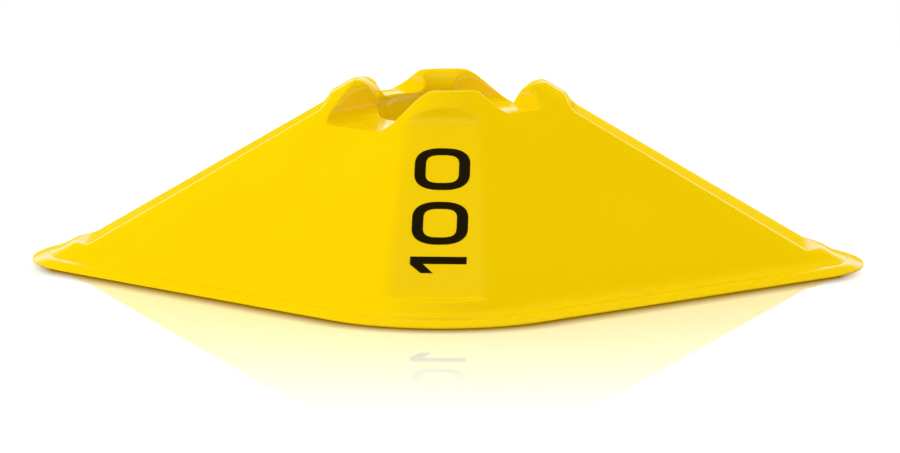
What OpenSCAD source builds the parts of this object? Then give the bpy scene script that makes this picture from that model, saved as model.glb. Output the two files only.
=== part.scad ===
// Low square marker cone for sports drills, moulded in one go from flexible plastic.
// The wall is drawn as its moulded zones, which meet face to face and hold one shape.

/* [Foot] */
// Width of the square foot across its flats
foot_w = 190; // [160:1:230]
// Plan radius of the foot's corners
foot_corner_r = 38; // [32:0.5:44]
// Thickness of the flat brim
brim_t = 1.7; // [1.5:0.1:2.2]
// Width of the brim on a flat, from its edge to the wall
brim_w = 8.5; // [7.5:0.1:10]
// Width of the sloping shoulder that thins the brim to its edge
shoulder_w = 5; // [3.5:0.1:5.5]
// Height of the brim's thin edge
brim_edge_h = 0.4; // [0.3:0.1:0.8]
// Rounding of the brim's lower edge
brim_under_r = 0.2; // [0.1:0.05:0.25]
// Radius of the hollow where the wall rises from the brim
root_r = 2; // [1:0.5:4]

/* [Wall] */
// Height of the whole cone
height = 52; // [48:0.5:60]
// Width across the flats at the top of the crown
crown_w = 46.6; // [44:0.2:54]
// Plan radius of the wall's corners where it leaves the brim
wall_foot_r = 22; // [20:0.5:24]
// Plan radius of the wall's corners at the top
wall_top_r = 13; // [12:0.5:15]
// Thickness of the moulded wall
wall_t = 1.8; // [1.4:0.1:2.2]
// Rounding of the crown's outer top edge
crown_edge_r = 1.6; // [1:0.1:2.2]

/* [Label panels] */
// Depth of the flat panel below the rounded corner, square to the corner line
panel_depth = 2.4; // [2.1:0.1:2.7]
// Height of the ledge under the panel, above the brim
ledge_h = 3.8; // [3.3:0.1:4.6]
// Distance from the cone's axis to the step above the panel
panel_step_r = 34.4; // [33.4:0.2:36]

/* [Notches] */
// Depth of the two wide notches below the top
wide_notch_depth = 10.6; // [9:0.2:12]
// Width of the flat floor in a wide notch
wide_notch_w = 19.4; // [16:0.2:21]
// Depth of the two narrow notches below the top
narrow_notch_depth = 5.9; // [5.5:0.1:7.5]
// Width of the flat floor in a narrow notch
narrow_notch_w = 10.8; // [8:0.2:12]
// Radius of the fillet at the foot of a notch's side
notch_fillet_r = 3.6; // [3:0.1:4]
// Rounding of the shoulder at the top of a notch's side
notch_shoulder_r = 2; // [1.4:0.1:2.2]
// Draft of a notch's side from upright, in degrees
notch_draft = 8; // [4:0.5:10]

/* [Well] */
// Diameter of the central well at the top
well_d = 48; // [45:0.5:49]
// Draft of the well's wall from upright, in degrees
well_draft = 24; // [20:0.5:25]
// Depth of the well's wall below the top
collar_depth = 18; // [15:0.5:22]

/* [Hidden] */

// Facets in each quarter turn of a rounded plan corner, and in each small edge rounding
corner_steps = 12;
edge_steps = 3;
// Facets round the well
well_facets = 96;
// Overrun of every cut past the face that it opens
overrun = wall_t;
plastic = [0.97, 0.81, 0.02];

foot_half = foot_w / 2;
crown_half = crown_w / 2;
root_half = foot_half - brim_w;
rise = height - brim_t;
// Slope of the wide faces from level, and the wall's thickness measured level
slope = atan2(rise, root_half - crown_half);
wall_level = wall_t / sin(slope);

// Half width and corner radius of the wall at height z
function wall_half(z) = root_half + (crown_half - root_half) * (z - brim_t) / rise;
function wall_corner(z) = wall_foot_r + (wall_top_r - wall_foot_r) * (z - brim_t) / rise;
// Distance from the axis to the rounded corner at height z
function apex(z) = sqrt(2) * wall_half(z) - (sqrt(2) - 1) * wall_corner(z);

// Slope of the corner line from level, and the panel planes square to it
corner_fall = (apex(brim_t) - apex(height)) / rise;
corner_slope = atan2(1, corner_fall);
panel_level = panel_depth / sin(corner_slope);
// Height of the panel's face at a distance u from the axis, and the other way round
function panel_z(u) = brim_t + (apex(brim_t) - panel_level - u) / corner_fall;
function panel_r(z) = apex(z) - panel_level;
// Strip of the wide face beside a panel that carries its arris
panel_land = panel_depth / 2;
// Half width of the panel with its arrises, at height z
function panel_half(z) = sqrt(2) * wall_half(z) - panel_r(z) + panel_land;

ledge_z = brim_t + ledge_h;
wide_floor_z = height - wide_notch_depth;
narrow_floor_z = height - narrow_notch_depth;
// The crown's zones stand on this plane, the underside of the wide notches' floors
crown_z = wide_floor_z - wall_t;
wide_half = wide_notch_w / 2;
narrow_half = narrow_notch_w / 2;

collar_z = height - collar_depth;
well_skin = wall_t / cos(well_draft);
// Radius of the well at height z
function well_r(z) = well_d / 2 - (height - z) * tan(well_draft);

// One level ring of a rounded square, counter-clockwise seen from above
function ring(half, corner, z) = [
    for (quarter = [0 : 3])
        let (
            side_x = quarter == 0 || quarter == 3 ? 1 : -1,
            side_y = quarter < 2 ? 1 : -1
        )
        for (step = [0 : corner_steps])
            let (a = 90 * (quarter + step / corner_steps))
            [
                side_x * (half - corner) + corner * cos(a),
                side_y * (half - corner) + corner * sin(a),
                z
            ]
];

// A closed solid through rings given as [half width, corner radius, height]
module loft(rings) {
    count = 4 * (corner_steps + 1);
    points = [for (r = rings) each ring(r[0], r[1], r[2])];
    last = (len(rings) - 1) * count;
    sides = [
        for (level = [0 : len(rings) - 2], i = [0 : count - 1])
            let (a = level * count + i, b = level * count + (i + 1) % count)
            [a, a + count, b + count, b]
    ];
    ends = [
        [for (i = [0 : count - 1]) i],
        [for (i = [count - 1 : -1 : 0]) last + i]
    ];
    polyhedron(points, concat(sides, ends));
}

// Rings of the brim: its lower edge, thin upright edge, and the shoulder as a soft curve,
// which rises from the edge towards a point above shoulder_bow and ends level
shoulder_bow = 0.64 * shoulder_w;
function brim_rings() = concat(
    [[foot_half - brim_under_r, foot_corner_r - brim_under_r, 0]],
    [[foot_half, foot_corner_r, brim_under_r]],
    [
        for (step = [0 : 2 * edge_steps])
            let (
                t = step / (2 * edge_steps),
                inset = 2 * t * (1 - t) * shoulder_bow + t * t * shoulder_w,
                drop = (1 - t) * (1 - t) * (brim_t - brim_edge_h)
            )
            [foot_half - inset, foot_corner_r - inset, brim_t - drop]
    ]
);

// Rings of the hollow between brim and wall, which leaves the brim level
root_run = root_r * tan(slope / 2);
function root_rings() = [
    for (step = [0 : edge_steps])
        let (
            a = slope * step / edge_steps,
            out = root_run - root_r * sin(a)
        )
        [root_half + out, wall_foot_r + out, brim_t + root_r * (1 - cos(a))]
];

// Rings of the crown's rounded outer edge
crown_run = crown_edge_r * tan(slope / 2);
function crown_rings() = [
    for (step = [0 : edge_steps])
        let (
            a = slope * step / edge_steps,
            inset = crown_run - crown_edge_r * sin(slope - a)
        )
        [crown_half - inset, wall_top_r - inset, height - crown_edge_r * (1 - cos(slope - a))]
];

function wall_ring(z) = [wall_half(z), wall_corner(z), z];
function inner_ring(z) = [wall_half(z) - wall_level, wall_corner(z) - wall_level, z];

// Turns a shape drawn along +X so that it looks out over one of the four corners
module at_corner(quarter) rotate(45 + 90 * quarter) children();

// The space over a label panel, sunk by the skin under it, and run on past step and ledge
module panel_space(skin, past = 0) {
    skin_level = skin / sin(corner_slope);
    step_r = panel_step_r - skin - past;
    low_z = ledge_z - skin - past;
    low_r = panel_r(low_z) - skin_level;
    rotate([90, 0, 0])
        linear_extrude(foot_w, center = true)
            polygon([
                [step_r, panel_z(step_r + skin_level)],
                [low_r, low_z],
                [foot_w, low_z],
                [foot_w, height + rise],
                [step_r, height + rise],
            ]);
}

// The upright zone that holds one label panel, from its step out past the foot
module panel_zone() {
    near_half = panel_half(panel_z(panel_step_r));
    far_r = panel_r(ledge_z);
    spread = (panel_half(ledge_z) - near_half) / (far_r - panel_step_r);
    far_half = near_half + spread * (foot_w - panel_step_r);
    linear_extrude(height + rise)
        polygon([
            [panel_step_r, -near_half],
            [foot_w, -far_half],
            [foot_w, far_half],
            [panel_step_r, near_half],
        ]);
}

// The skin of the wall between two heights: outside faces less the hollow inside
module wall_skin(rings, from_z, to_z) {
    difference() {
        loft(rings);
        loft([inner_ring(from_z - overrun), inner_ring(to_z + overrun)]);
    }
}

module foot_brim() {
    color(plastic)
        difference() {
            loft(concat(brim_rings(), root_rings(), [wall_ring(ledge_z)]));
            difference() {
                loft([inner_ring(-overrun), inner_ring(ledge_z + overrun)]);
                for (quarter = [0 : 3])
                    at_corner(quarter) panel_space(wall_t);
            }
        }
}

module side_wall(quarter) {
    color(plastic)
        rotate(90 * quarter)
            difference() {
                intersection() {
                    wall_skin([wall_ring(ledge_z), wall_ring(crown_z)], ledge_z, crown_z);
                    linear_extrude(height)
                        polygon([[0, 0], [-foot_half, -foot_half], [foot_half, -foot_half]]);
                }
                at_corner(2) panel_zone();
                at_corner(3) panel_zone();
            }
}

module label_panel(quarter) {
    color(plastic)
        difference() {
            intersection() {
                loft([wall_ring(ledge_z), wall_ring(height)]);
                at_corner(quarter) panel_zone();
            }
            at_corner(quarter) panel_space(0, overrun);
            difference() {
                loft([inner_ring(ledge_z - overrun), inner_ring(height + overrun)]);
                at_corner(quarter) panel_space(wall_t, overrun);
            }
        }
}

// Half of a notch's outline over its floor: fillet, drafted side and rounded shoulder,
// then out over the top, grown outward by grow
function notch_side(half, floor_z, grow) =
    let (
        fillet = notch_fillet_r + grow,
        shoulder = notch_shoulder_r - grow,
        base_z = floor_z - grow,
        side_x = half + fillet * cos(notch_draft),
        side_z = base_z + fillet * (1 - sin(notch_draft)),
        top_z = height - grow,
        lip_z = top_z - shoulder * (1 - sin(notch_draft)),
        lip_x = side_x + (lip_z - side_z) * tan(notch_draft),
        land_x = lip_x + shoulder * cos(notch_draft)
    )
    concat(
        [
            for (step = [0 : 2 * edge_steps])
                let (a = (90 - notch_draft) * step / (2 * edge_steps))
                [half + fillet * sin(a), base_z + fillet * (1 - cos(a))]
        ],
        [
            for (step = [0 : 2 * edge_steps])
                let (a = notch_draft + (90 - notch_draft) * step / (2 * edge_steps))
                [land_x - shoulder * cos(a), top_z - shoulder * (1 - sin(a))]
        ],
        [[land_x, height + overrun]]
    );

// A notch's space along X, or the same space grown by the skin round it
module notch_space(half, floor_z, grow) {
    right = notch_side(half, floor_z, grow);
    left = [for (i = [len(right) - 1 : -1 : 0]) [-right[i][0], right[i][1]]];
    rotate([90, 0, 90])
        linear_extrude(foot_w, center = true)
            polygon(concat(right, left));
}

module notch_spaces(grow) {
    rotate(90) notch_space(wide_half, wide_floor_z, grow);
    notch_space(narrow_half, narrow_floor_z, grow);
}

// The well's cone, widened by grow, from low_z up past the top
module well_cone(low_z, grow) {
    top_z = height + overrun;
    translate([0, 0, low_z])
        cylinder(
            h = top_z - low_z,
            r1 = well_r(low_z) + grow,
            r2 = well_r(top_z) + grow,
            $fn = well_facets
        );
}

// The hollow inside the crown, round the well's sleeve and under the notches
module crown_hollow() {
    difference() {
        loft([inner_ring(crown_z - overrun), inner_ring(height - wall_t)]);
        for (quarter = [0 : 3])
            at_corner(quarter) panel_space(wall_t);
        notch_spaces(wall_t);
        well_cone(crown_z - 2 * overrun, well_skin);
    }
}

module crown_skin() {
    difference() {
        loft(concat([wall_ring(crown_z)], crown_rings()));
        notch_spaces(0);
        well_cone(crown_z - overrun, 0);
        crown_hollow();
    }
}

// The front right tab; the others are its mirror images
module crown_tab(mirror_x, mirror_y) {
    color(plastic)
        mirror([mirror_x, 0, 0])
            mirror([0, mirror_y, 0])
                difference() {
                    intersection() {
                        crown_skin();
                        translate([wide_half, -foot_half, crown_z])
                            cube([foot_half, foot_half - narrow_half, height]);
                    }
                    at_corner(3) panel_zone();
                }
}

module wide_notch(half_turn) {
    color(plastic)
        rotate(180 * half_turn)
            intersection() {
                crown_skin();
                translate([-wide_half, -foot_half, crown_z])
                    cube([wide_notch_w, foot_half, height]);
            }
}

module narrow_notch(half_turn) {
    color(plastic)
        rotate(180 * half_turn)
            intersection() {
                crown_skin();
                translate([0, -narrow_half, crown_z])
                    cube([foot_half, narrow_notch_w, height]);
            }
}

module well_collar() {
    color(plastic)
        rotate_extrude($fn = well_facets)
            polygon([
                [well_r(collar_z), collar_z],
                [well_r(collar_z) + well_skin, collar_z],
                [well_r(crown_z) + well_skin, crown_z],
                [well_r(crown_z), crown_z],
            ]);
}

foot_brim();
side_wall(0);  // side_wall_front
side_wall(1);  // side_wall_right
side_wall(2);  // side_wall_back
side_wall(3);  // side_wall_left
label_panel(0);  // label_panel_back_right
label_panel(1);  // label_panel_back_left
label_panel(2);  // label_panel_front_left
label_panel(3);  // label_panel_front_right
crown_tab(0, 0);  // crown_tab_front_right
crown_tab(0, 1);  // crown_tab_back_right
crown_tab(1, 1);  // crown_tab_back_left
crown_tab(1, 0);  // crown_tab_front_left
wide_notch(0);  // wide_notch_front
wide_notch(1);  // wide_notch_back
narrow_notch(0);  // narrow_notch_right
narrow_notch(1);  // narrow_notch_left
well_collar();
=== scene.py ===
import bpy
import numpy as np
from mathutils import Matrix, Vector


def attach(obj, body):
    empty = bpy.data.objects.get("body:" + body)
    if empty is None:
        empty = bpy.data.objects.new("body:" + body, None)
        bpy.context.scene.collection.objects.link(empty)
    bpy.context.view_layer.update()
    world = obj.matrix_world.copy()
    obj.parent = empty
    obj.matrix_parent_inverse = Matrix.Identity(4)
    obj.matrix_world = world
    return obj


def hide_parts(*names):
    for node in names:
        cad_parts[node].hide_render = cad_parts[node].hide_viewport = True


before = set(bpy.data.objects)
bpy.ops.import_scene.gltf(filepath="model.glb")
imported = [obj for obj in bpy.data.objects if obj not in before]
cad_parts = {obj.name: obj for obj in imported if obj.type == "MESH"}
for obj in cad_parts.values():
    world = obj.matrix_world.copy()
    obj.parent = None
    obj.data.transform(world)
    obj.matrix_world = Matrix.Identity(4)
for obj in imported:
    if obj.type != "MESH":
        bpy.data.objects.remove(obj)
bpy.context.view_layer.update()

# %% [markdown]
# # A low square marker cone
# The real object is one thin shell of bright yellow plastic: a square foot with rounded corners,
# four sloping faces, a flat panel let into each corner, and a notched crown round an open well.
# It could be made face by face, but every edge of it is soft, and soft edges are hard to join.
# So the whole shape is written once, as a field that says how far any point is from the surface,
# and each named zone is then a patch of that one surface. Light runs over the seams unbroken.

print("zones in the frame:", len(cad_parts))

# %% [markdown]
# ## The main sizes
# The real cone is made to a few round sizes: the foot's width, the height, the slope of the faces.
# Numbers could be typed where they are used, but then two places could disagree.
# They stand here once, in millimetres, and all later shapes are worked out from them.

# %% Sizes of foot, wall and crown in millimetres
MM = 0.001
FOOT_HALF, FOOT_CORNER = 95.0, 38.0
BRIM_TOP, BRIM_EDGE, UNDER_EDGE = 1.7, 0.4, 0.2
SHOULDER_WIDTH, SHOULDER_BOW = 5.0, 3.2
ROOT_HALF, ROOT_CORNER = 86.5, 22.0
TOP, TOP_HALF, TOP_CORNER = 52.0, 23.3, 13.0
SKIN = 1.8
ROOT2 = np.sqrt(2.0)

WALL_RUN = (ROOT_HALF - TOP_HALF) / (TOP - BRIM_TOP)
CORNER_RUN = (ROOT_CORNER - TOP_CORNER) / (TOP - BRIM_TOP)
wall_slope = float(np.degrees(np.arctan(1 / WALL_RUN)))
print("the wide faces slope", round(wall_slope, 1), "degrees from level")

# %% Sizes of panels, notches and well in millimetres
APEX_RUN = ROOT2 * WALL_RUN - (ROOT2 - 1) * CORNER_RUN
APEX_FOOT = ROOT2 * ROOT_HALF - (ROOT2 - 1) * ROOT_CORNER
PANEL_SLOPE = np.arctan(1 / APEX_RUN)
PANEL_DEPTH, PANEL_COVE, PANEL_ARRIS = 2.4, 1.8, 0.77
PANEL_FOOT = APEX_FOOT - PANEL_DEPTH / np.sin(PANEL_SLOPE)
LEDGE, LEDGE_EDGE = 5.5, 0.7
STEP, STEP_DRAFT, STEP_LEVEL = 34.4, np.radians(14), 46.0
WELL_RIM, WELL_DRAFT, WELL_END = 24.0, np.radians(24), 34.0
NOTCH_DRAFT = np.radians(8)
TINY = 1e-9
print("the corner panels slope", round(float(np.degrees(PANEL_SLOPE)), 1), "degrees from level")

# %% [markdown]
# ## Soft edges between simple shapes
# A moulded edge is never sharp: the plastic turns over it in a small round.
# Bevels could do that on a mesh, but they fail where three or four edges meet.
# Distances blend cleanly instead. Where two of them are nearly equal, a smooth maximum rounds the
# outer edge between them, and a rounded minimum fills an inner corner with a fillet.

# %% Smooth maximum, smooth minimum and a filleted minimum
def smooth_max(a, b, width):
    """max(a, b) plus width / 4 times the square of (1 - |a - b| / width), where that is positive."""
    near = np.maximum(1.0 - np.abs(a - b) / width, 0.0)
    return np.maximum(a, b) + near * near * width / 4


def smooth_min(a, b, width):
    """The smooth maximum turned over: -smooth_max(-a, -b)."""
    return -smooth_max(-a, -b, width)


def fillet_min(a, b, radius):
    """max(min(a, b), radius) less the length of (radius - a, radius - b), both kept positive."""
    corner = np.hypot(np.maximum(radius - a, 0), np.maximum(radius - b, 0))
    return np.maximum(np.minimum(a, b), radius) - corner


print("two distances of 1, made soft over 2:", smooth_max(1.0, 1.0, 2.0), smooth_min(1.0, 1.0, 2.0))

# %% [markdown]
# ## The sloping wall
# The wall of the real cone is a rounded square that shrinks as it rises, corners and all.
# A tapered box would give it straight corners of one radius. Measured as a field, the outline at any
# height is the distance to a rounded square of that height's width and corner radius.
# It is divided by the slope's own length, so that it is a true distance, square to the face.

# %% Distance to the wall
def wall_distance(x, y, z):
    """Plan distance to the rounded square at height z, over sqrt(1 + run squared) of the face there."""
    rise = z - BRIM_TOP
    corner = ROOT_CORNER - CORNER_RUN * rise
    straight = ROOT_HALF - WALL_RUN * rise - corner
    over_x, over_y = np.abs(x) - straight, np.abs(y) - straight
    out_x, out_y = np.maximum(over_x, 0), np.maximum(over_y, 0)
    reach = np.hypot(out_x, out_y)
    plan = reach + np.minimum(np.maximum(over_x, over_y), 0) - corner
    turn = np.where(reach > TINY, (out_x + out_y) / np.maximum(reach, TINY), 1.0)
    run = (WALL_RUN - CORNER_RUN) * turn + CORNER_RUN
    return plan / np.sqrt(1 + run * run)


to_wall = float(wall_distance(0.0, ROOT_HALF + 1.0, BRIM_TOP))
print("a point 1 mm beside the foot of the wall is", round(to_wall, 3), "mm from it")

# %% [markdown]
# ## The corner panels
# Each rounded corner has a long flat panel let into it, for a label. It starts under a small step
# below the crown and ends on a ledge above the brim. It could be a separate plate, but on the real
# cone it is the wall itself, pressed in. Here it is a space taken away: above a plane, outside the
# step and above the ledge, with a soft hollow where the step meets the plane.

# %% Distance into the space over a panel
def panel_distance(x, y, z):
    """Filleted minimum of the distances to plane and step, then a smooth minimum with the ledge."""
    out = (np.abs(x) + np.abs(y)) / ROOT2
    plane = (z - BRIM_TOP - (PANEL_FOOT - out) / APEX_RUN) * np.cos(PANEL_SLOPE)
    step = (out - STEP) * np.cos(STEP_DRAFT) + (z - STEP_LEVEL) * np.sin(STEP_DRAFT)
    return smooth_min(fillet_min(plane, step, PANEL_COVE), z - LEDGE, LEDGE_EDGE)


print("the step stands", STEP, "mm from the axis at a height of", STEP_LEVEL, "mm")

# %% [markdown]
# ## Notches and well
# Two wide, deep notches and two narrow, shallow ones cross the crown, so that a pole can lie in them.
# Their floors rise a little towards the well, their sides lean out, and a fillet joins the two.
# The well is a cone that narrows downward, and its wall bellies in a little below the rim. Boolean
# cuts could make all five, and would leave sharp edges with poor normals. As distances they join the
# same field as the wall.

# %% Distance into a notch and into the well
WIDE = {
    "side": 12.83, "floor": 41.1, "fillet": 3.3,
    "mouth": 36.6, "length": 17.5, "climb": 0.7, "crown": 0.0}
NARROW = {
    "side": 8.53, "floor": 45.8, "fillet": 3.3,
    "mouth": 30.7, "length": 10.5, "climb": 0.25, "crown": 0.3}
BELLY, BELLY_HEIGHT = 1.45, 8.5


def notch_floor(notch, along):
    """Floor height: an even climb from the mouth to the well, plus a low crown of 4s(1 - s)."""
    s = np.clip((notch["mouth"] - np.abs(along)) / notch["length"], 0, 1)
    return notch["floor"] + notch["climb"] * s + notch["crown"] * 4 * s * (1 - s)


def notch_distance(notch, across, along, z):
    """Filleted minimum of the height over the floor and the distance in from the leaning side."""
    above = z - notch_floor(notch, along)
    side = notch["side"] + above * np.tan(NOTCH_DRAFT)
    return fillet_min(above, (side - np.abs(across)) * np.cos(NOTCH_DRAFT), notch["fillet"])


def well_distance(x, y, z):
    """Distance in from a cone that narrows downward, its wall bellied in by 4t(1 - t) below the rim."""
    t = np.clip((TOP - z) / BELLY_HEIGHT, 0, 1)
    radius = WELL_RIM - (TOP - z) * np.tan(WELL_DRAFT) - BELLY * 4 * t * (1 - t)
    return (radius - np.hypot(x, y)) * np.cos(WELL_DRAFT)


print("notch floors at", WIDE["floor"], "and", NARROW["floor"], "mm, the well", 2 * WELL_RIM, "mm wide")

# %% [markdown]
# ## One field for the whole cone
# The wall is cut by the panels, the level top, the well and the notches, one after the other.
# Each cut gets the softness that its edge has on the real cone: fine along a notch's floor, and
# wide on the shoulders at the top, which people handle. The brim is joined on last, with a hollow
# where the wall rises from it.

# %% The field of the cone, and of cone and brim together
FLOOR_EDGE, SHOULDER_EDGE, TOP_EDGE, WELL_EDGE = 0.35, 1.85, 3.2, 0.6
CROWN_EDGE, RIM_EDGE, FOOT_HOLLOW = 0.6, 2.2, 2.2
MIX_REACH = 0.6


def notch_softness(notch, z, outside, well):
    """Edge widths at the outer face, the top and the well, mixed by exp(-distance / MIX_REACH)."""
    t = np.clip((z - notch["floor"]) / (TOP - notch["floor"]), 0, 1)
    outer_edge = FLOOR_EDGE + (SHOULDER_EDGE - FLOOR_EDGE) * t * t * (3 - 2 * t)
    near_outside, near_top, near_well = (
        np.exp(-np.abs(d) / MIX_REACH) + TINY for d in (outside, z - TOP, well))
    total = near_outside + near_top + near_well
    return (outer_edge * near_outside + TOP_EDGE * near_top + WELL_EDGE * near_well) / total


def cone_field(x, y, z):
    """Distance to the cone without its brim, negative in the plastic and in the hollow."""
    outside = smooth_max(wall_distance(x, y, z), panel_distance(x, y, z), PANEL_ARRIS)
    well = well_distance(x, y, z)
    field = smooth_max(smooth_max(outside, z - TOP, CROWN_EDGE), well, RIM_EDGE)
    for notch, across, along in ((WIDE, x, y), (NARROW, y, x)):
        softness = notch_softness(notch, z, outside, well)
        field = smooth_max(field, notch_distance(notch, across, along, z), softness)
    return field


def outer_field(x, y, z):
    """Smooth minimum of the cone's field and the height over the level brim."""
    return smooth_min(cone_field(x, y, z), z - BRIM_TOP, FOOT_HOLLOW)


on_brim = float(outer_field(0.0, FOOT_HALF, BRIM_TOP))
print("the field on the level brim is", round(on_brim, 3))

# %% [markdown]
# ## A net of lines that follows the shape
# A plain square grid would cut across the notches' edges and waste points on the flat faces.
# The real shape suggests a better net: lines that run out from the well, and rings round it.
# Lines crowd where a side or an arris turns, and rings crowd at the rim, the step and the ledge.
# One quarter is laid out here, from the middle of the front to the middle of the right side.

# %% Lines of the net across one quarter
WIDE_BENDS, NARROW_BENDS = (9.7, 12.9, 14.4), (9.9, 8.8, 5.4)
WIDE_FLOOR_CELLS, NARROW_FLOOR_CELLS = 14, 8
WIDE_BEYOND, NARROW_BEYOND = 8, 9
FILLET_CELLS, WIDE_SHOULDER_CELLS, NARROW_SHOULDER_CELLS = 12, 12, 9
ARRIS_START, ARRIS_END = 0.86, 0.99
FLAT_CELLS, ARRIS_CELLS, OUTSIDE_CELLS = 36, 10, 2


def steps(*parts):
    """Even steps joined end to end: each part is (from, to, count)."""
    return np.concatenate([np.linspace(a, b, n + 1)[:-1] for a, b, n in parts] + [[parts[-1][1]]])


def wide_lines(far):
    """From the middle of a wide notch: its floor, its fillet, its shoulder, then on to far."""
    fillet, side, shoulder = WIDE_BENDS
    return steps((0, fillet, WIDE_FLOOR_CELLS), (fillet, side, FILLET_CELLS),
                 (side, shoulder, WIDE_SHOULDER_CELLS), (shoulder, far, WIDE_BEYOND))


def narrow_lines(far):
    """From far to the middle of a narrow notch: its shoulder, its fillet, then its floor."""
    shoulder, side, fillet = NARROW_BENDS
    return steps((far, shoulder, NARROW_BEYOND), (shoulder, side, NARROW_SHOULDER_CELLS),
                 (side, fillet, FILLET_CELLS), (fillet, 0, NARROW_FLOOR_CELLS))


PANEL_LINES = steps(
    (-1, -ARRIS_END, OUTSIDE_CELLS), (-ARRIS_END, -ARRIS_START, ARRIS_CELLS),
    (-ARRIS_START, ARRIS_START, FLAT_CELLS),
    (ARRIS_START, ARRIS_END, ARRIS_CELLS), (ARRIS_END, 1, OUTSIDE_CELLS))[1:-1]
WIDE_CELLS = WIDE_FLOOR_CELLS + FILLET_CELLS + WIDE_SHOULDER_CELLS + WIDE_BEYOND
NARROW_CELLS = NARROW_FLOOR_CELLS + FILLET_CELLS + NARROW_SHOULDER_CELLS + NARROW_BEYOND
PANEL_CELLS = len(PANEL_LINES) + 1
QUARTER = WIDE_CELLS + PANEL_CELLS + NARROW_CELLS
print("lines in one quarter:", QUARTER, "round the whole cone:", 4 * QUARTER)

# %% Rings in plan: circles round the well
WIDE_FAR, NARROW_FAR, STRAIGHT_REACH = 16.3, 12.4, 20.0
PANEL_ANGLE, PANEL_SPREAD = 50.83, 8.06
RIM_ANGLES = np.concatenate([
    np.arcsin(wide_lines(WIDE_FAR) / WELL_RIM),
    np.radians(PANEL_ANGLE + PANEL_SPREAD * PANEL_LINES),
    np.pi / 2 - np.arcsin(narrow_lines(NARROW_FAR) / WELL_RIM),
])
SIDE_LINE, FAR_LINE = WIDE_CELLS - WIDE_BEYOND, QUARTER - (NARROW_CELLS - NARROW_BEYOND)


def circle(radius):
    """Plan points of one quarter circle, on lines that run straight along the notches' sides."""
    reach = max(radius, STRAIGHT_REACH)
    angle = RIM_ANGLES.copy()
    angle[:SIDE_LINE + 1] = np.arcsin(np.sin(RIM_ANGLES[:SIDE_LINE + 1]) * WELL_RIM / reach)
    angle[FAR_LINE:] = np.pi / 2 - np.arcsin(np.cos(RIM_ANGLES[FAR_LINE:]) * WELL_RIM / reach)
    share = (RIM_ANGLES - RIM_ANGLES[SIDE_LINE]) / (RIM_ANGLES[FAR_LINE] - RIM_ANGLES[SIDE_LINE])
    middle = slice(SIDE_LINE, FAR_LINE + 1)
    angle[middle] = angle[SIDE_LINE] + (angle[FAR_LINE] - angle[SIDE_LINE]) * share[middle]
    return np.stack([radius * np.sin(angle), radius * np.cos(angle)], 1)


print("points in one quarter of the rim:", len(circle(WELL_RIM)))

# %% Rings in plan: straight chords near the crown and on the ledge
def chord_ring(side, near_x, wide, narrow, out=None):
    """A square ring of half width side, cut off at the corner by a straight chord across the panel."""
    half_chord = (side - near_x) / ROOT2
    along = PANEL_LINES * half_chord
    away = np.full_like(along, (side + near_x) / ROOT2)
    if out is not None:
        away = np.minimum(out, (2 * side) / ROOT2 - np.abs(along))
    front = np.stack([wide, np.full_like(wide, side)], 1)
    corner = np.stack([(away + along) / ROOT2, (away - along) / ROOT2], 1)
    flank = np.stack([np.full_like(narrow, side), narrow], 1)
    return np.concatenate([front, corner, flank])


# %% Rings in plan: rounded squares round the foot
def round_ring(half, corner):
    """A rounded square, with even lines on the flats and even angles round the corner."""
    flat = half - corner
    wide, narrow = np.linspace(0, flat, WIDE_CELLS + 1), np.linspace(flat, 0, NARROW_CELLS + 1)
    turn = np.pi / 4 * (1 + PANEL_LINES)
    front = np.stack([wide, np.full_like(wide, half)], 1)
    bend = np.stack([flat + corner * np.sin(turn), flat + corner * np.cos(turn)], 1)
    flank = np.stack([np.full_like(narrow, half), narrow], 1)
    return np.concatenate([front, bend, flank])


# %% Outlines that the other rings lie between
LIP_ROUND = 0.6
LIP_RADIUS = WELL_RIM - (TOP - WELL_END - LIP_ROUND) * np.tan(WELL_DRAFT)
COLLAR_RADIUS, RIM_START = 18.5, 23.2

NEAR_SIDE, NEAR_X = 32.4, 16.2
CROWN_SIDE, CROWN_X = 38.9, 22.48
near_ring = chord_ring(NEAR_SIDE, NEAR_X, wide_lines(NEAR_X), narrow_lines(NEAR_X))
crown_ring = chord_ring(CROWN_SIDE, CROWN_X, wide_lines(CROWN_X), narrow_lines(CROWN_X))

LEDGE_SIDE = ROOT_HALF - WALL_RUN * (LEDGE - BRIM_TOP)
LEDGE_OUT = PANEL_FOOT - APEX_RUN * (LEDGE - BRIM_TOP)
LEDGE_HALF_CHORD = 14.4
LEDGE_X = LEDGE_SIDE - LEDGE_HALF_CHORD * ROOT2
ledge_ring = chord_ring(
    LEDGE_SIDE, LEDGE_X, np.linspace(0, LEDGE_X, WIDE_CELLS + 1),
    np.linspace(LEDGE_X, 0, NARROW_CELLS + 1), LEDGE_OUT)

LOW_HALF, LOW_CORNER = 82, 20.4
low_wall = np.array([LOW_HALF, LOW_CORNER])
root = np.array([ROOT_HALF, ROOT_CORNER])
shoulder_start = np.array([FOOT_HALF, FOOT_CORNER]) - SHOULDER_WIDTH
print("half widths: crown", CROWN_SIDE, "ledge", round(LEDGE_SIDE, 2), "shoulder", shoulder_start[0])

# %% All rings from the well's lip to the shoulder of the brim
COLLAR_END, WELL_RINGS, RIM_RINGS = 8, 18, 6
TOP_SHARES = steps((0, 0.08, 6), (0.08, 0.8, 26), (0.8, 1, 16))
STEP_SHARES = steps((0, 0.12, 8), (0.12, 0.34, 6), (0.34, 1, 6))
SLOPE_SHARES = steps((0, 0.95, 12), (0.95, 1, 8))
LEDGE_SHARES = steps((0, 0.25, 4), (0.25, 0.75, 3), (0.75, 1, 6))
ROOT_SHARES = steps((0, 0.1, 3), (0.1, 0.8, 6), (0.8, 1, 4))
BRIM_SHARES = steps((0, 0.25, 5), (0.25, 1, 4))


def between(first, last, shares):
    """Whatever lies between first and last, at the given shares of the way, without the first."""
    return [first + (last - first) * share for share in shares[1:]]


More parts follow.
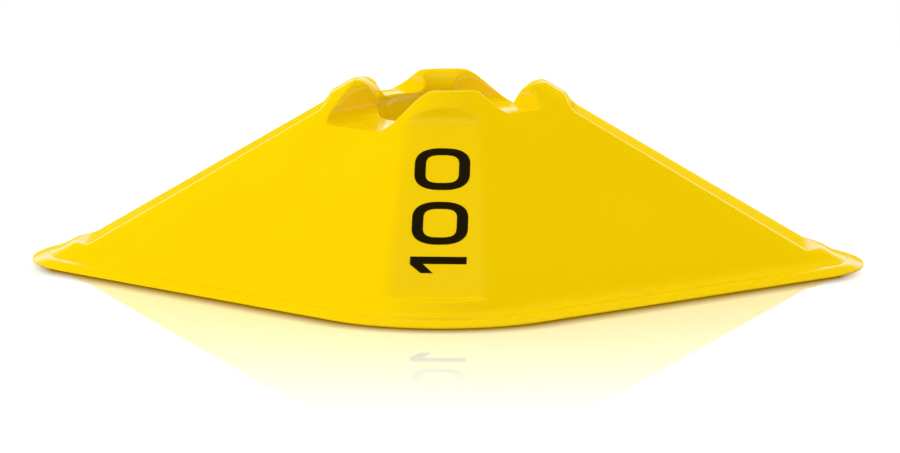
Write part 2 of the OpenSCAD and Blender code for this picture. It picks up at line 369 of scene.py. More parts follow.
well_radii = steps(
    (LIP_RADIUS, COLLAR_RADIUS, COLLAR_END), (COLLAR_RADIUS, RIM_START, WELL_RINGS),
    (RIM_START, WELL_RIM, RIM_RINGS))
rings = [circle(radius) for radius in well_radii]
RIM_ROW = len(rings) - 1
rings += between(circle(WELL_RIM), near_ring, TOP_SHARES)
STEP_ROW = len(rings) - 1
rings += between(near_ring, crown_ring, STEP_SHARES)
CROWN_ROW = len(rings) - 1
rings += between(crown_ring, ledge_ring, SLOPE_SHARES)
LEDGE_ROW = len(rings) - 1
rings += between(ledge_ring, round_ring(*low_wall), LEDGE_SHARES)
WALL_ROW = len(rings) - 1
rings += [round_ring(*sizes) for sizes in between(low_wall, root, ROOT_SHARES)]
FOOT_ROW = len(rings) - 1
rings += [round_ring(*sizes) for sizes in between(root, shoulder_start, BRIM_SHARES)]
quarter_plan = np.array(rings)
ROWS = len(rings)
print("rings:", ROWS, "step", STEP_ROW, "crown", CROWN_ROW, "ledge", LEDGE_ROW, "foot", FOOT_ROW)

# %% [markdown]
# ## Four quarters and two sheets
# The real cone mirrors onto itself, so the net of one quarter is mirrored three times.
# Each point of the net then gets two heights, for the outside and for the underside of the skin.
# A height could be solved by hand for each face, but halving an interval does it for all at once:
# the field is negative below a surface and positive above it, so forty halvings pin it down.

# %% The whole net in plan
LOWEST, HIGHEST, HALVINGS = -30.0, 60.0, 40
SLOPE_STEP = 0.01


def all_round(quarter):
    """Front right, back right, back left and front left quarter, counter-clockwise from the front."""
    x, y = quarter[..., 0], -quarter[..., 1]
    turn_x = np.concatenate([x[:, :-1], x[:, :0:-1], -x[:, :-1], -x[:, :0:-1]], 1)
    turn_y = np.concatenate([y[:, :-1], -y[:, :0:-1], -y[:, :-1], y[:, :0:-1]], 1)
    return turn_x, turn_y


def surface_height(field, x, y, level):
    """The height at which the field has this level, by halving the interval that holds it."""
    low, high = np.full(x.shape, LOWEST), np.full(x.shape, HIGHEST)
    for _ in range(HALVINGS):
        middle = (low + high) / 2
        below = field(x, y, middle) < level
        low, high = np.where(below, middle, low), np.where(below, high, middle)
    return (low + high) / 2


def field_normals(field, points, sign):
    """Unit normals from the field's own slope, by central differences over twice SLOPE_STEP."""
    x, y, z = np.moveaxis(points, -1, 0)
    e = SLOPE_STEP
    slope = np.stack([
        field(x + e, y, z) - field(x - e, y, z),
        field(x, y + e, z) - field(x, y - e, z),
        field(x, y, z + e) - field(x, y, z - e),
    ], -1)
    return sign * slope / np.linalg.norm(slope, axis=-1, keepdims=True)


# %% The outer sheet
outer_x, outer_y = all_round(quarter_plan)
outer = np.stack([outer_x, outer_y, surface_height(outer_field, outer_x, outer_y, 0.0)], -1)
outer_normals = field_normals(outer_field, outer, 1)
lowest_outer, highest_outer = outer[..., 2].min().round(3), outer[..., 2].max().round(3)
print("outer sheet:", outer.shape[:2], "height from", lowest_outer, "to", highest_outer)

# %% The under sheet: the skin's inner face, then the flat underside of the brim
SKIN_LEVEL = SKIN / np.cos(WELL_DRAFT)
under_plan = quarter_plan.copy()
radius = np.linalg.norm(quarter_plan, axis=2)
fade = np.clip((STEP_ROW - np.arange(ROWS)) / (STEP_ROW - RIM_ROW), 0, 1)
under_plan *= (1 + fade[:, None] * SKIN_LEVEL / radius)[..., None]

FOOT_SKIN = SKIN * np.sqrt(1 + WALL_RUN ** 2)
HOLLOW_HALF = ROOT_HALF + WALL_RUN * BRIM_TOP - FOOT_SKIN
HOLLOW_CORNER = ROOT_CORNER + CORNER_RUN * BRIM_TOP - FOOT_SKIN
SOLE_HALF, SOLE_CORNER = FOOT_HALF - UNDER_EDGE, FOOT_CORNER - UNDER_EDGE
hollow_ring, sole_ring = round_ring(HOLLOW_HALF, HOLLOW_CORNER), round_ring(SOLE_HALF, SOLE_CORNER)
under_plan[WALL_ROW + 1:FOOT_ROW + 1] = between(quarter_plan[WALL_ROW], hollow_ring, ROOT_SHARES)
under_plan[FOOT_ROW + 1:] = between(hollow_ring, sole_ring, BRIM_SHARES)

under_x, under_y = all_round(under_plan)
under_z = surface_height(cone_field, under_x, under_y, -SKIN)
under = np.stack([under_x, under_y, np.maximum(under_z, 0)], -1)
under_normals = field_normals(cone_field, under, -1)
under[FOOT_ROW:, :, 2] = 0.0
under_normals[FOOT_ROW + 1:] = (0, 0, -1)
hollow_top = under[:FOOT_ROW, :, 2].max().round(2)
print("under sheet: hollow reaches", hollow_top, "mm, meets the floor at", round(HOLLOW_HALF, 2))

# %% [markdown]
# ## The lip of the well and the shoulder of the brim
# Two rolled edges close the skin: the lip where the well's wall ends in the hollow, and the wide
# soft shoulder that thins the brim towards its edge. Both could be bevels. Drawn as profiles carried
# round the net they keep their own form, and the shoulder is a long flat curve, not part of a circle.

# %% Profiles carried round the net
ROLL_CELLS, SHOULDER_CELLS = 4, 20
EDGE_ROLL = 0.12
END_RADIUS = WELL_RIM - (TOP - WELL_END) * np.tan(WELL_DRAFT)


def bend(first, corner, last, count):
    """Quadratic curve from first to last, drawn towards the corner, in count even steps."""
    t = np.linspace(0, 1, count + 1)[:, None]
    first, corner, last = np.array(first), np.array(corner), np.array(last)
    return (1 - t) ** 2 * first + 2 * t * (1 - t) * corner + t ** 2 * last


def carried_rings(profile, ring_of):
    """One ring of points for each (offset, height) of the profile."""
    plan = np.array([ring_of(offset) for offset, _ in profile])
    x, y = all_round(plan)
    return np.stack([x, y, np.broadcast_to(np.array(profile)[:, 1:], x.shape)], -1)


def foot_ring(offset):
    """The foot's outline, moved out by the offset."""
    return round_ring(FOOT_HALF + offset, FOOT_CORNER + offset)


lip_profile = np.concatenate([
    bend((LIP_RADIUS, WELL_END + LIP_ROUND), (END_RADIUS, WELL_END),
         (END_RADIUS + LIP_ROUND, WELL_END), ROLL_CELLS)[1:],
    bend((END_RADIUS + SKIN_LEVEL - LIP_ROUND, WELL_END), (END_RADIUS + SKIN_LEVEL, WELL_END),
         (LIP_RADIUS + SKIN_LEVEL, WELL_END + LIP_ROUND), ROLL_CELLS)[:-1],
])
lip = carried_rings(lip_profile, circle)

shoulder = bend(
    (-SHOULDER_WIDTH, BRIM_TOP), (-SHOULDER_BOW, BRIM_TOP), (0, BRIM_EDGE), SHOULDER_CELLS)[1:-1]
edge_profile = np.concatenate([
    shoulder,
    bend(shoulder[-1], (0, BRIM_EDGE), (0, BRIM_EDGE - EDGE_ROLL), ROLL_CELLS)[1:],
    bend((0, UNDER_EDGE), (0, 0), (-UNDER_EDGE, 0), ROLL_CELLS)[:-1],
])
edge = carried_rings(edge_profile, foot_ring)
print("lip rings:", len(lip), "edge rings:", len(edge))


# %% Normals of the two carried edges
def carried_normals(first, rings_between, last):
    """Cross product of the steps along the profile and round the ring."""
    rows = np.concatenate([first[None], rings_between, last[None]])
    along = np.gradient(rows, axis=0)
    around = np.roll(rows, -1, 1) - np.roll(rows, 1, 1)
    normal = np.cross(along, around)[1:-1]
    return normal / np.linalg.norm(normal, axis=-1, keepdims=True)


lip_normals = -carried_normals(outer[0], lip, under[0])
edge_normals = carried_normals(outer[-1], edge, under[-1])
print("normals on the lip:", lip_normals.shape[:2], "on the edge:", edge_normals.shape[:2])

# %% [markdown]
# ## Zones cut from the one surface
# The frame knows the cone as named zones: brim, side walls, panels, tabs, notch floors, collar.
# Each zone is a set of cells of the net. Its outer and under sheets are copied, and flat seam walls
# close it where a neighbour begins, so that each piece is a closed solid and neighbours meet exactly.
# The normals come from the field and not from the faces, which keeps each seam out of sight.

# %% Every point of the net in one table
def one_table(*nets):
    """All rows of the nets below one another, three numbers in each."""
    return np.concatenate([net.reshape(-1, 3) for net in nets])


COLUMNS = outer.shape[1]
points = one_table(outer, under, lip, edge)
point_normals = one_table(outer_normals, under_normals, lip_normals, edge_normals)
outer_id = np.arange(ROWS * COLUMNS).reshape(ROWS, COLUMNS)
under_id = outer_id + ROWS * COLUMNS
lip_id = 2 * ROWS * COLUMNS + np.arange(len(lip) * COLUMNS).reshape(len(lip), COLUMNS)
edge_id = lip_id[-1, -1] + 1 + np.arange(len(edge) * COLUMNS).reshape(len(edge), COLUMNS)
print("points in the whole net:", len(points))


def strip_faces(ids):
    """Four-sided faces of a carried edge that starts on the outer sheet and ends on the under sheet."""
    after = np.roll(ids, -1, 1)
    return np.stack([ids[:-1], ids[1:], after[1:], after[:-1]], -1).reshape(-1, 4)


# %% Faces of one zone
def zone_faces(cells):
    """Sheet faces of the cells, and seam walls wherever a cell's neighbour isn't in the zone."""
    o, u = outer_id, under_id
    on, un = np.roll(o, -1, 1), np.roll(u, -1, 1)
    inner_o, inner_on, far_o, far_on = o[:-1], on[:-1], o[1:], on[1:]
    inner_u, inner_un, far_u, far_un = u[:-1], un[:-1], u[1:], un[1:]
    sheets = [
        np.stack([inner_o, far_o, far_on, inner_on], -1)[cells],
        np.stack([inner_u, inner_un, far_un, far_u], -1)[cells],
    ]
    apart = np.zeros((1, COLUMNS), bool)
    opens_in = cells & ~np.concatenate([apart, cells[:-1]])
    opens_out = cells & ~np.concatenate([cells[1:], apart])
    opens_in[0] = False
    opens_out[-1] = False
    opens_back, opens_on = cells & ~np.roll(cells, 1, 1), cells & ~np.roll(cells, -1, 1)
    walls = [
        np.stack([inner_o, inner_on, inner_un, inner_u], -1)[opens_in],
        np.stack([far_o, far_u, far_un, far_on], -1)[opens_out],
        np.stack([inner_o, inner_u, far_u, far_o], -1)[opens_back],
        np.stack([inner_on, far_on, far_un, inner_un], -1)[opens_on],
    ]
    return np.concatenate(sheets), np.concatenate(walls)


# %% A mesh object with the net's own normals
SMALLEST_CROSS = 1e-12


def make_piece(name, sheets, walls):
    """Vertices are the points in use; sheets take the field's normals, seam walls their own."""
    faces = np.concatenate([sheets, walls])
    used, inverse = np.unique(faces, return_inverse=True)
    faces = inverse.reshape(faces.shape)
    corners = points[used]
    mesh = bpy.data.meshes.new(name)
    mesh.vertices.add(len(used))
    mesh.vertices.foreach_set("co", (corners * MM).ravel())
    mesh.loops.add(faces.size)
    mesh.loops.foreach_set("vertex_index", faces.ravel())
    mesh.polygons.add(len(faces))
    mesh.polygons.foreach_set("loop_start", np.arange(len(faces)) * faces.shape[1])
    mesh.update(calc_edges=True)
    mesh.polygons.foreach_set("use_smooth", np.ones(len(faces), bool))
    loop_normals = point_normals[used][faces]
    quad = corners[faces[len(sheets):]]
    flat = np.cross(quad[:, 2] - quad[:, 0], quad[:, 3] - quad[:, 1])
    flat /= np.maximum(np.linalg.norm(flat, axis=1, keepdims=True), SMALLEST_CROSS)
    loop_normals[len(sheets):] = flat[:, None]
    mesh.validate()
    mesh.normals_split_custom_set(loop_normals.reshape(-1, 3))
    piece = bpy.data.objects.new(name, mesh)
    bpy.context.scene.collection.objects.link(piece)
    return piece


# %% Cells of each zone
QUARTERS = ("front_right", "back_right", "back_left", "front_left")
columns = np.arange(COLUMNS)
quarter_of, place = columns // QUARTER, columns % QUARTER
place = np.where(quarter_of % 2 == 0, place, QUARTER - 1 - place)
rows = np.arange(ROWS - 1)[:, None]
on_panel = (place >= WIDE_CELLS) & (place < WIDE_CELLS + PANEL_CELLS)
in_wide, in_narrow = place < WIDE_FLOOR_CELLS, place >= QUARTER - NARROW_FLOOR_CELLS
by_front_back, by_sides = place < WIDE_CELLS, place >= WIDE_CELLS + PANEL_CELLS
crown = (rows >= COLLAR_END) & (rows < CROWN_ROW)
wall = (rows >= CROWN_ROW) & (rows < LEDGE_ROW)


def in_quarters(word):
    """Columns of the quarters whose name holds the word: one side of the cone, or one quarter."""
    return np.isin(quarter_of, [index for index, name in enumerate(QUARTERS) if word in name])


zones = {
    "foot_brim": (rows >= LEDGE_ROW) & (columns >= 0),
    "well_collar": (rows < COLLAR_END) & (columns >= 0),
}
for kind, cells, ends in (
        ("side_wall_", wall & by_front_back, ("front", "back")),
        ("side_wall_", wall & by_sides, ("right", "left")),
        ("wide_notch_", crown & in_wide, ("front", "back")),
        ("narrow_notch_", crown & in_narrow, ("right", "left"))):
    for end in ends:
        zones[kind + end] = cells & in_quarters(end)
for name in QUARTERS:
    panel = (rows >= STEP_ROW) & (rows < LEDGE_ROW) & on_panel & in_quarters(name)
    zones["label_panel_" + name] = panel
    zones["crown_tab_" + name] = crown & ~panel & ~in_wide & ~in_narrow & in_quarters(name)
print("cells in zones:", sum(int(cells.sum()) for cells in zones.values()), "of", (ROWS - 1) * COLUMNS)

# %% The pieces, each in place of its zone of the frame
pieces = {}
for name, cells in zones.items():
    sheets, walls = zone_faces(cells)
    if name == "foot_brim":
        strip = strip_faces(np.concatenate([outer_id[-1:], edge_id, under_id[-1:]]))
        sheets = np.concatenate([sheets, strip])
    if name == "well_collar":
        strip = strip_faces(np.concatenate([outer_id[:1], lip_id, under_id[:1]]))[:, ::-1]
        sheets = np.concatenate([sheets, strip])
    piece = make_piece("skin_" + name, sheets, walls)
    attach(piece, "root")
    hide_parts(name)
    pieces[name] = piece
    print(name, "triangles:", 2 * len(piece.data.polygons))

# %% [markdown]
# ## Reading shader maths as arithmetic
# A finish is a small recipe of nodes. Nodes could be added and wired one by one, which hides the sum
# behind its wiring. A small class wraps a socket instead, so that a mask can be written as 1 - mask,
# one method adds any other node with its settings and inputs, and short ones name what comes back
# often: a noise, a tint between two colours, one shader laid over another.

# %% A socket that does sums, and a recipe that adds nodes
class Socket:
    """A number on its way through a material; each operator adds one Math node."""

    def __init__(self, recipe, output):
        self.recipe, self.output = recipe, output

    def _math(self, operation, *values):
        return self.recipe.node("ShaderNodeMath", {"operation": operation}, dict(enumerate(values)))

    def __add__(self, other):
        return self._math("ADD", self, other)

    def __sub__(self, other):
        return self._math("SUBTRACT", self, other)

    def __rsub__(self, other):
        return self._math("SUBTRACT", other, self)

    def __mul__(self, other):
        return self._math("MULTIPLY", self, other)

    def __truediv__(self, other):
        return self._math("DIVIDE", self, other)

    def __pow__(self, other):
        return self._math("POWER", self, other)

    def __abs__(self):
        return self._math("ABSOLUTE", self)

    __radd__ = __add__


class Recipe:
    """The node tree of one material or of the world."""

    def __init__(self, owner):
        owner.use_nodes = True
        self.tree = owner.node_tree
        self.tree.nodes.clear()

    def node(self, kind, settings=None, inputs=None, output=0):
        """Adds a node, sets its settings, then gives each input its value or link."""
        made = self.tree.nodes.new(kind)
        for name, value in (settings or {}).items():
            if name == "stops":
                ramp = made.color_ramp
                while len(ramp.elements) < len(value):
                    ramp.elements.new(0.5)
                for element, (place, colour) in zip(ramp.elements, value):
                    element.position, element.color = place, (*colour, 1)
            else:
                setattr(made, name, value)
        for name, value in (inputs or {}).items():
            if isinstance(value, Socket):
                self.tree.links.new(value.output, made.inputs[name])
            else:
                made.inputs[name].default_value = value
        return Socket(self, made.outputs[output]) if made.outputs else None

    def highest(self, a, b):
        """The larger of two values."""
        return self.node("ShaderNodeMath", {"operation": "MAXIMUM"}, {0: a, 1: b})

    def positive(self, value):
        """The value where it is above 0, and 0 elsewhere."""
        return self.highest(value, 0.0)

    def share(self, value):
        """The value kept between 0 and 1."""
        return self.node("ShaderNodeMath", {"operation": "MINIMUM"}, {0: self.positive(value), 1: 1.0})

    def noise(self, place, scale, detail):
        """Noise of so many waves to the metre."""
        return self.node("ShaderNodeTexNoise", {}, {"Vector": place, "Scale": scale, "Detail": detail})

    def tint(self, share, first, last):
        """A colour between two others."""
        return self.node("ShaderNodeMix", {"data_type": "RGBA"}, {
            0: share, 6: (*first, 1), 7: (*last, 1)}, output=2)

    def layer(self, share, first, last):
        """The first shader, covered by the last as far as the share goes."""
        return self.node("ShaderNodeMixShader", {}, {0: share, 1: first, 2: last})


# %% [markdown]
# ## The yellow plastic
# The real plastic is a saturated yellow with a satin gloss. Close up, the moulding shows a very
# fine grain, a slow ripple from the way the wall cooled, and patches that are a touch more polished.
# A flat colour would look like paint. Here noise on object coordinates gives grain and ripple to a
# bump, shifts the roughness a little, and lets the colour drift by a hair.

# %% Finish of the skin
DEEP_YELLOW, LIGHT_YELLOW = (0.94, 0.620, 0.0010), (0.98, 0.655, 0.0014)
SATIN, POLISH_SHIFT = 0.10, 0.05
GRAIN_SHARE, RIPPLE_SHARE = 0.16, 1.6


def plastic_finish():
    """Satin yellow: noise moves the colour between two yellows, the roughness and a fine bump."""
    material = bpy.data.materials.new("yellow_plastic_satin")
    r = Recipe(material)
    place = r.node("ShaderNodeTexCoord", output="Object")
    drift = r.noise(place, scale=28.0, detail=3.0)
    polish = r.noise(place, scale=160.0, detail=4.0)
    grain = r.noise(place, scale=2600.0, detail=2.0)
    ripple = r.noise(place, scale=60.0, detail=1.0)
    relief = grain * GRAIN_SHARE + ripple * RIPPLE_SHARE
    normal = r.node("ShaderNodeBump", {}, {"Height": relief, "Strength": 0.35, "Distance": 0.00006})
    shader = r.node("ShaderNodeBsdfPrincipled", {}, {
        "Base Color": r.tint(drift, DEEP_YELLOW, LIGHT_YELLOW),
        "Roughness": SATIN + polish * POLISH_SHIFT, "Normal": normal,
        "IOR": 1.5, "Specular IOR Level": 0.5})
    r.node("ShaderNodeOutputMaterial", {}, {"Surface": shader})
    return material


yellow = plastic_finish()
for piece in pieces.values():
    piece.data.materials.append(yellow)
print("finish on", len(pieces), "pieces")

# %% [markdown]
# ## The number on a corner panel
# Markers of this kind carry a plain number in black ink, so that drills can be told apart. It reads
# from the bottom up. A text object could make it, but its letters would depend on a font file.
# The strokes are simple, so each one is drawn as a pair of edges and filled by a thin closed ribbon.

# %% Sizes of the print in millimetres
DIGIT_HEIGHT, ZERO_WIDTH, ONE_WIDTH, STROKE, GAP = 15.3, 18.5, 7.0, 3.1, 5.2
ZERO_BEND, ZERO_BEND_CELLS = 5.4, 16
FLAG_DROP, FLAG_UNDER, FLAG_LEAN = 3.0, 6.3, 0.2
FLAG_JOIN, FLAG_NECK = 3.5, 4.1
INK_TOP, INK_SUNK, PRINT_START = 0.05, 0.02, 10.5


def on_panel_plane(reading, up, lift):
    """Reading runs up the slope from the ledge, up runs across it to the left, lift is square to it."""
    z = LEDGE + reading * np.sin(PANEL_SLOPE)
    out = PANEL_FOOT - APEX_RUN * (z - BRIM_TOP) + lift * np.sin(PANEL_SLOPE)
    return np.stack([(out - up) / ROOT2, (-out - up) / ROOT2, z + lift * np.cos(PANEL_SLOPE)], -1)


print("the number starts", PRINT_START, "mm up the panel and is", INK_TOP, "mm proud of it")

# %% Edges of the two kinds of digit
def zero_edges(start):
    """A rounded box, bent at its four corners, and half the stroke to each side of it."""
    low, high = STROKE / 2, DIGIT_HEIGHT - STROKE / 2
    left, right = start + STROKE / 2, start + ZERO_WIDTH - STROKE / 2
    corners = np.array([(left, low), (right, low), (right, high), (left, high)])
    before, after = np.roll(corners, 1, 0) - corners, np.roll(corners, -1, 0) - corners
    before *= ZERO_BEND / np.linalg.norm(before, axis=1, keepdims=True)
    after *= ZERO_BEND / np.linalg.norm(after, axis=1, keepdims=True)
    path = np.concatenate([
        bend(c + b, c, c + a, ZERO_BEND_CELLS) for c, b, a in zip(corners, before, after)])
    ahead = np.roll(path, -1, 0) - np.roll(path, 1, 0)
    across = np.stack([-ahead[:, 1], ahead[:, 0]], 1)
    side = across / np.linalg.norm(ahead, axis=1, keepdims=True) * STROKE / 2
    return path + side, path - side


def one_edges(start):
    """A flag that rises to the top of an upright stroke: outer edge, inner edge."""
    w, h, inner = ONE_WIDTH, DIGIT_HEIGHT, ONE_WIDTH - STROKE
    outer_edge = np.array([(0, h - FLAG_DROP), (inner - FLAG_LEAN, h), (w, h), (w, 0)])
    inner_edge = np.array([
        (0, h - FLAG_UNDER), (inner, h - FLAG_JOIN), (inner, h - FLAG_NECK), (inner, 0)])
    return outer_edge + (start, 0), inner_edge + (start, 0)


# %% The print itself
def ribbon(left, right, closed, first):
    """Four rows, top and bottom of both edges, joined by quads; an open ribbon gets two end faces."""
    rows = np.stack([on_panel_plane(edge[:, 0], edge[:, 1] - DIGIT_HEIGHT / 2, lift) for edge, lift in (
        (left, INK_TOP), (right, INK_TOP), (right, -INK_SUNK), (left, -INK_SUNK))])
    ids = first + np.arange(4 * len(left)).reshape(4, -1)
    below, along = np.roll(ids, -1, 0), np.roll(ids, -1, 1)
    quads = np.stack([ids, below, np.roll(below, -1, 1), along], -1)
    if closed:
        return rows.reshape(-1, 3), quads.reshape(-1, 4)
    ends = np.array([ids[::-1, 0], ids[:, -1]])
    return rows.reshape(-1, 3), np.concatenate([quads[:, :-1].reshape(-1, 4), ends])


ONE, ZERO = (one_edges, ONE_WIDTH, False), (zero_edges, ZERO_WIDTH, True)
print_points, print_faces, reading = [], [], PRINT_START
for edges_of, width, closed in (ONE, ZERO, ZERO):
    corners, quads = ribbon(*edges_of(reading), closed, sum(len(part) for part in print_points))
    print_points.append(corners)
    print_faces.append(quads)
    reading += width + GAP
number_mesh = bpy.data.meshes.new("printed_number")
number_points, number_faces = np.concatenate(print_points) * MM, np.concatenate(print_faces)
number_mesh.from_pydata(number_points.tolist(), [], number_faces.tolist())
number = bpy.data.objects.new("printed_number", number_mesh)
bpy.context.scene.collection.objects.link(number)
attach(number, "root")
print("the number is", round(reading - GAP - PRINT_START, 1), "mm long and", DIGIT_HEIGHT, "mm high")

# %% [markdown]
# ## The black ink
# Printing ink on plastic is a thin dull skin, less glossy than the moulding, with a fine tooth where
# the screen's mesh let it through. Plain black would look like a hole. A noise shifts its roughness
# and its depth of black by a little, and a bump gives it the tooth.

# %% Finish of the ink
DEEP_BLACK, LIGHT_BLACK = (0.002, 0.001, 0.001), (0.004, 0.002, 0.002)
DULL, COVER_SHIFT = 0.44, 0.16


def ink_finish():
    """Dull black: noise moves the depth of black and the roughness, a finer one gives the tooth."""
    material = bpy.data.materials.new("black_print_ink")
    r = Recipe(material)
    place = r.node("ShaderNodeTexCoord", output="Object")
    cover = r.noise(place, scale=420.0, detail=3.0)
    tooth = r.noise(place, scale=3200.0, detail=1.0)
    normal = r.node("ShaderNodeBump", {}, {"Height": tooth, "Strength": 0.3, "Distance": 0.00002})
    shader = r.node("ShaderNodeBsdfPrincipled", {}, {
        "Base Color": r.tint(cover, DEEP_BLACK, LIGHT_BLACK),
        "Roughness": DULL + cover * COVER_SHIFT, "Normal": normal,
        "IOR": 1.5, "Specular IOR Level": 0.06})
    r.node("ShaderNodeOutputMaterial", {}, {"Surface": shader})
    return material


number.data.materials.append(ink_finish())
print("ink on", number.name)

# %% [markdown]
# ## Floor and light
# The cone stands on a polished white floor in a white space. Lamps strong enough to burn the floor to
# white would burn the cone as well. The floor keeps a plain level of light instead, and only what
# the camera sees of it is lifted, so that the mirror image stays. The dark line along the near edges
# of the foot is a painted shadow, drawn into the floor's finish by distance from the foot.
# The gloss of the plastic meets a white band low over the horizon, and a warm yellow below and above
# it: a stand-in for the light that the thin yellow wall lets through, which keeps its edges bright.

# %% Sizes of the painted shadow, the mirror and the white far floor in metres, and the floor's colours
FLOOR_REACH = 6.0
TIP_OUT = (ROOT2 * (FOOT_HALF - FOOT_CORNER) + FOOT_CORNER) * MM
# Where the painted shadow starts, how wide it fades out, and how far in under the foot it reaches, in
# metres.
PAINTED_SHADOW_START, PAINTED_SHADOW_WIDTH, PAINTED_SHADOW_INSIDE = 0.0014, 0.0082, 0.006
FRONT_FADE, TIP_FADE = 0.012, 0.008
MIRROR_START, MIRROR_WIDTH, MIRROR_POWER, MIRROR_SHARE = 0.030, 0.220, 1.35, 0.78
WHITE_START, WHITE_WIDTH = 0.30, 0.30
WHITE, FLOOR_WHITE, FLOOR_GLOW = (1, 1, 1, 1), (0.86, 0.86, 0.86, 1), (1, 0.93, 0.5, 1)
# The brown below is the colour of the painted shadow along the near edges and under the foot.
PAINTED_SHADOW_BROWN, FLOOR_WARM = (0.27, 0.15, 0.0, 1), (0.90, 0.66, 0.04, 1)
GLOW_STRENGTH = 0.42
print("the foot's rounded tips reach", round(float(TIP_OUT), 4), "metres from the middle")

# %% The floor
def floor_finish():
    """Matte with a mirror image near the cone, a painted shadow along the near edges and under the
    foot, white far off, and warm yellow to glossy rays.
    """
    material = bpy.data.materials.new("white_floor")
    r = Recipe(material)
    place = r.node("ShaderNodeTexCoord", output="Object")
    x = r.node("ShaderNodeSeparateXYZ", {}, {0: place}, output=0)
    y = r.node("ShaderNodeSeparateXYZ", {}, {0: place}, output=1)
    # The painted shadow: full along the foot's near edges and under it, faded out beside the tips and
    # behind the cone.
    over_x, over_y = (r.positive(abs(part) - (FOOT_HALF - FOOT_CORNER) * MM) for part in (x, y))
    away = (over_x * over_x + over_y * over_y) ** 0.5 - FOOT_CORNER * MM
    near = r.positive(1 - r.positive(away - PAINTED_SHADOW_START) / PAINTED_SHADOW_WIDTH)
    front = r.share((x - y) / (ROOT2 * FRONT_FADE))
    beside = r.share((TIP_OUT - abs(x + y) / ROOT2) / TIP_FADE)
    beneath = r.share(0 - away / PAINTED_SHADOW_INSIDE)
    painted_contact_shadow = near * beside * r.highest(front, beneath)
    centre = (x * x + y * y) ** 0.5
    falloff = r.positive((centre - MIRROR_START) / MIRROR_WIDTH) ** MIRROR_POWER
    mirror = r.positive(1 - falloff) * MIRROR_SHARE
    far = r.share((centre - WHITE_START) / WHITE_WIDTH)

    matte = r.node("ShaderNodeBsdfDiffuse", {}, {"Color": FLOOR_WHITE})
    glow = r.node("ShaderNodeEmission", {}, {"Color": FLOOR_GLOW, "Strength": GLOW_STRENGTH})
    lifted = r.node("ShaderNodeAddShader", {}, {0: matte, 1: glow})
    gloss = r.node("ShaderNodeBsdfGlossy", {}, {"Color": WHITE, "Roughness": 0.0})
    # A brown diffuse laid over the floor where the painted shadow falls.
    dark = r.node("ShaderNodeBsdfDiffuse", {}, {"Color": PAINTED_SHADOW_BROWN})
    bright = r.node("ShaderNodeEmission", {}, {"Color": WHITE, "Strength": 1.0})
    # To glossy rays the floor is warm yellow: a painted reflection in the cone's gloss. It stands in
    # for light that the yellow wall lets through.
    warm = r.node("ShaderNodeBsdfDiffuse", {}, {"Color": FLOOR_WARM})
    in_gloss = r.node("ShaderNodeLightPath", output="Is Glossy Ray")
    to_camera = r.node("ShaderNodeLightPath", output="Is Camera Ray")
    close = r.layer(painted_contact_shadow, r.layer(mirror, lifted, gloss), dark)
    surface = r.layer(to_camera, r.layer(in_gloss, matte, warm), r.layer(far, close, bright))
    r.node("ShaderNodeOutputMaterial", {}, {"Surface": surface})
    return material


def flat_floor(reach):
    """One square face at height 0, this far to each side."""
    corners = [(-reach, -reach, 0), (reach, -reach, 0), (reach, reach, 0), (-reach, reach, 0)]
    mesh = bpy.data.meshes.new("floor")
    mesh.from_pydata(corners, [], [(0, 1, 2, 3)])
    floor = bpy.data.objects.new("floor", mesh)
    bpy.context.scene.collection.objects.link(floor)
    floor.data.materials.append(floor_finish())


flat_floor(FLOOR_REACH)
print("the floor reaches", FLOOR_REACH, "metres from the cone")

# %% The white space round it
SPACE_WARM, SPACE_PALE, SPACE_WHITE = (0.73, 0.52, 0.0), (0.79, 0.79, 0.79), (1, 1, 1)
GLOSS_STOPS = [
    (0.0, SPACE_WARM), (0.129, SPACE_WARM), (0.141, SPACE_PALE), (0.155, SPACE_PALE),
    (0.175, SPACE_WHITE), (0.23, SPACE_WHITE), (0.30, SPACE_WARM), (1.0, SPACE_WARM)]
LOW_LIGHT, GLOSS_STRENGTH = (0.8, 0.8, 0.12), 1.3
LIGHT_STOPS = [(0.0, LOW_LIGHT), (0.22, LOW_LIGHT), (0.34, (0.02, 0.02, 0)), (1.0, (0, 0, 0))]


def white_space():
    """White to the camera and in the floor's mirror; in gloss and as light, bands by height."""
    world = bpy.data.worlds.new("white_space")
    bpy.context.scene.world = world
    r = Recipe(world)
    direction = r.node("ShaderNodeTexCoord", output="Generated")
    height = r.node("ShaderNodeSeparateXYZ", {}, {0: direction}, output=2)
    backdrop = r.node("ShaderNodeValToRGB", {"stops": GLOSS_STOPS}, {0: height})
    band = r.node("ShaderNodeValToRGB", {"stops": LIGHT_STOPS}, {0: height})
    diffuse_light = r.node("ShaderNodeBackground", {}, {"Color": band, "Strength": 1.0})
    mirrored = r.node("ShaderNodeBackground", {}, {"Color": backdrop, "Strength": GLOSS_STRENGTH})
    white = r.node("ShaderNodeBackground", {}, {"Color": WHITE, "Strength": 1.0})
    to_camera = r.node("ShaderNodeLightPath", output="Is Camera Ray")
    in_mirror = r.node("ShaderNodeLightPath", output="Is Singular Ray")
    in_gloss = r.node("ShaderNodeLightPath", output="Is Glossy Ray")
    light = r.layer(in_gloss, diffuse_light, mirrored)
    surface = r.layer(r.highest(to_camera, in_mirror), light, white)
    r.node("ShaderNodeOutputWorld", {}, {"Surface": surface})


white_space()
print("bands of the space:", len(GLOSS_STOPS), "in gloss,", len(LIGHT_STOPS), "as light")

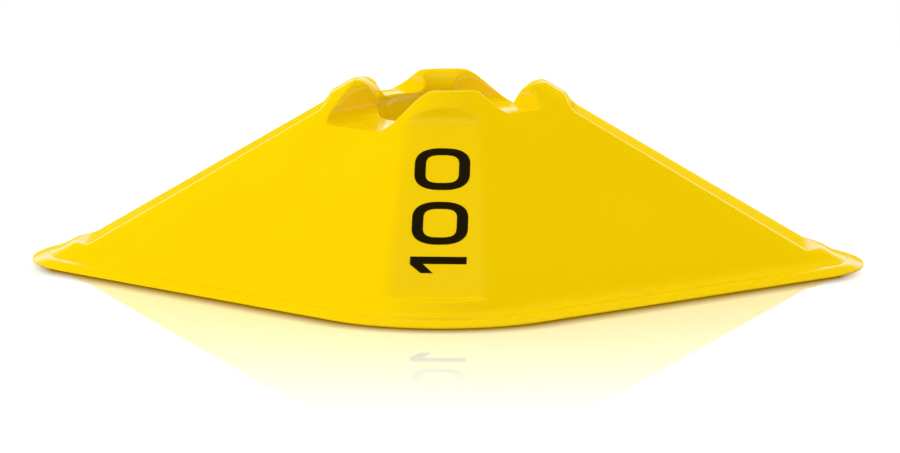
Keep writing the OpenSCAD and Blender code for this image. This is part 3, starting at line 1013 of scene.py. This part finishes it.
# %% Soft lamps
AIM = Vector((0, 0, 0.02))
LAMPS = (
    ("left_box", (-1.14, -1.41, 0.57), 1.1, 20.5),
    ("right_box", (1.60, 0.81, 0.57), 1.1, 8.0),
    ("back_box", (-0.95, 1.20, 1.25), 1.1, 19.0),
    ("top_box", (0.1, -0.1, 1.90), 1.4, 22.0),
)


def soft_lamp(name, place, width, watts):
    """A square lamp at place, in metres, turned to face the cone."""
    data = bpy.data.lights.new(name, "AREA")
    data.shape, data.size, data.energy = "SQUARE", width, watts
    lamp = bpy.data.objects.new(name, data)
    lamp.location = place
    lamp.rotation_euler = (AIM - Vector(place)).to_track_quat("-Z", "Y").to_euler()
    lamp.visible_glossy = False
    bpy.context.scene.collection.objects.link(lamp)


for lamp_settings in LAMPS:
    soft_lamp(*lamp_settings)
print("lamps:", [lamp.name for lamp in bpy.data.lights])

# %% [markdown]
# ## The camera
# The picture was taken with a long lens from one and a half metres, a little above the floor and
# straight at the front right corner. A wider lens would make the corner bulge towards the viewer.
# The camera's three directions are given as the columns of its matrix.

# %% The camera
LENS, SENSOR, CLIP_END = 217.024, 36.0, 50
CAMERA_PLACE = Vector((1.113171, -1.052133, 0.237786))
CAMERA_RIGHT = Vector((0.68678, 0.72686, 0.00397))
CAMERA_UP = Vector((-0.10976, 0.0983, 0.98909))
CAMERA_BACK = Vector((0.71853, -0.67972, 0.14729))


def set_camera():
    """The three directions are the columns of the camera's turn; its place is applied after it."""
    data = bpy.data.cameras.new("camera")
    data.lens, data.sensor_width, data.clip_end = LENS, SENSOR, CLIP_END
    camera = bpy.data.objects.new("camera", data)
    turn = Matrix((CAMERA_RIGHT, CAMERA_UP, CAMERA_BACK)).transposed().to_4x4()
    camera.matrix_world = Matrix.Translation(CAMERA_PLACE) @ turn
    bpy.context.scene.collection.objects.link(camera)
    bpy.context.scene.camera = camera


set_camera()
bpy.context.scene.view_settings.view_transform = "Standard"
print("the camera stands", round(CAMERA_PLACE.length, 2), "metres from the cone")
